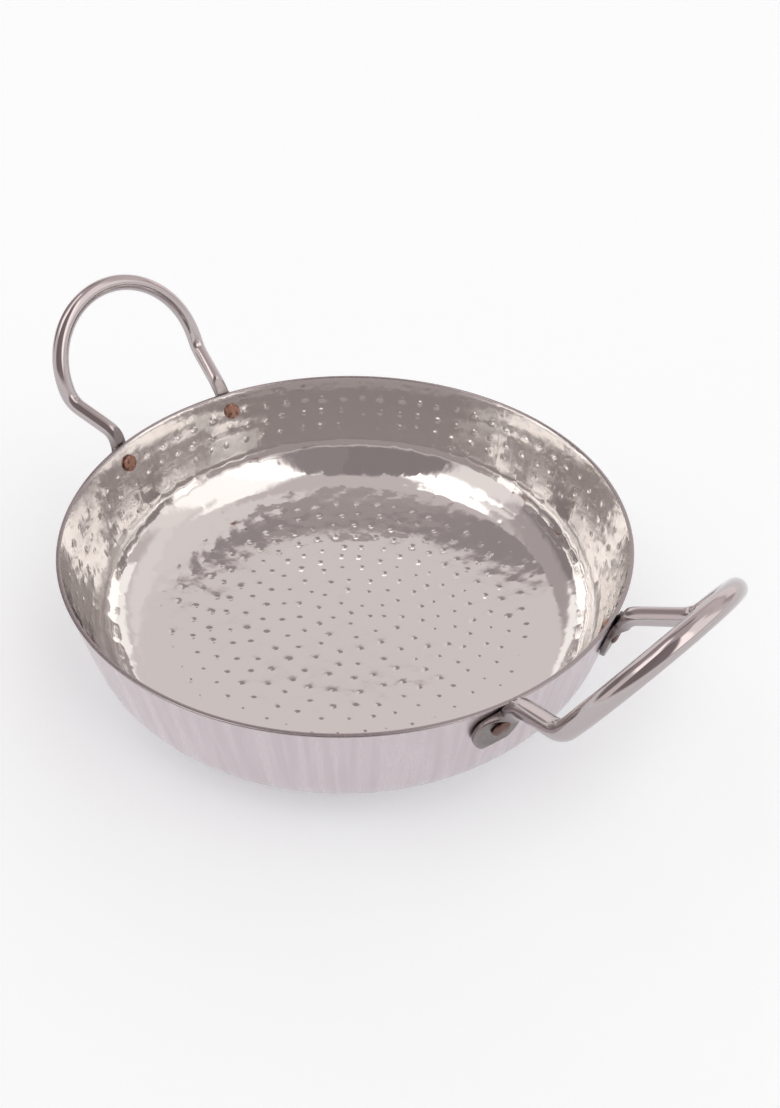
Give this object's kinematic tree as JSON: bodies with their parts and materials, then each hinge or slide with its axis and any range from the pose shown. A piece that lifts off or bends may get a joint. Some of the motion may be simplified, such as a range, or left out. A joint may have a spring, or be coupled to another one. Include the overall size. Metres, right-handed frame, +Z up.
{
  "type": "kadai",
  "caption": "Round deep steel cooking pan with a hammered inside and upright loop handles of bent rod, each held to the wall by copper rivets.",
  "frame": {"origin": "centre of the flat of the base, on the surface that the pan stands on", "axes": "+Z up along the bowl's axis, +X towards the right handle, with both handles close to the X axis"},
  "size_m": [0.3361, 0.2498, 0.1258],
  "materials": {
    "bowl_steel": "polished stainless steel, hand hammered inside, satin outside",
    "handle_steel": "polished stainless rod with drawn streaks",
    "rivet_copper": "solid copper, set by hammer, a little tarnished"
  },
  "bodies": {
    "root": {"bowl": "bowl_steel", "left_handle": "handle_steel", "right_handle": "handle_steel", "left_back_rivet": "rivet_copper", "left_front_rivet": "rivet_copper", "right_back_rivet": "rivet_copper", "right_front_rivet": "rivet_copper"}
  },
  "joints": []
}
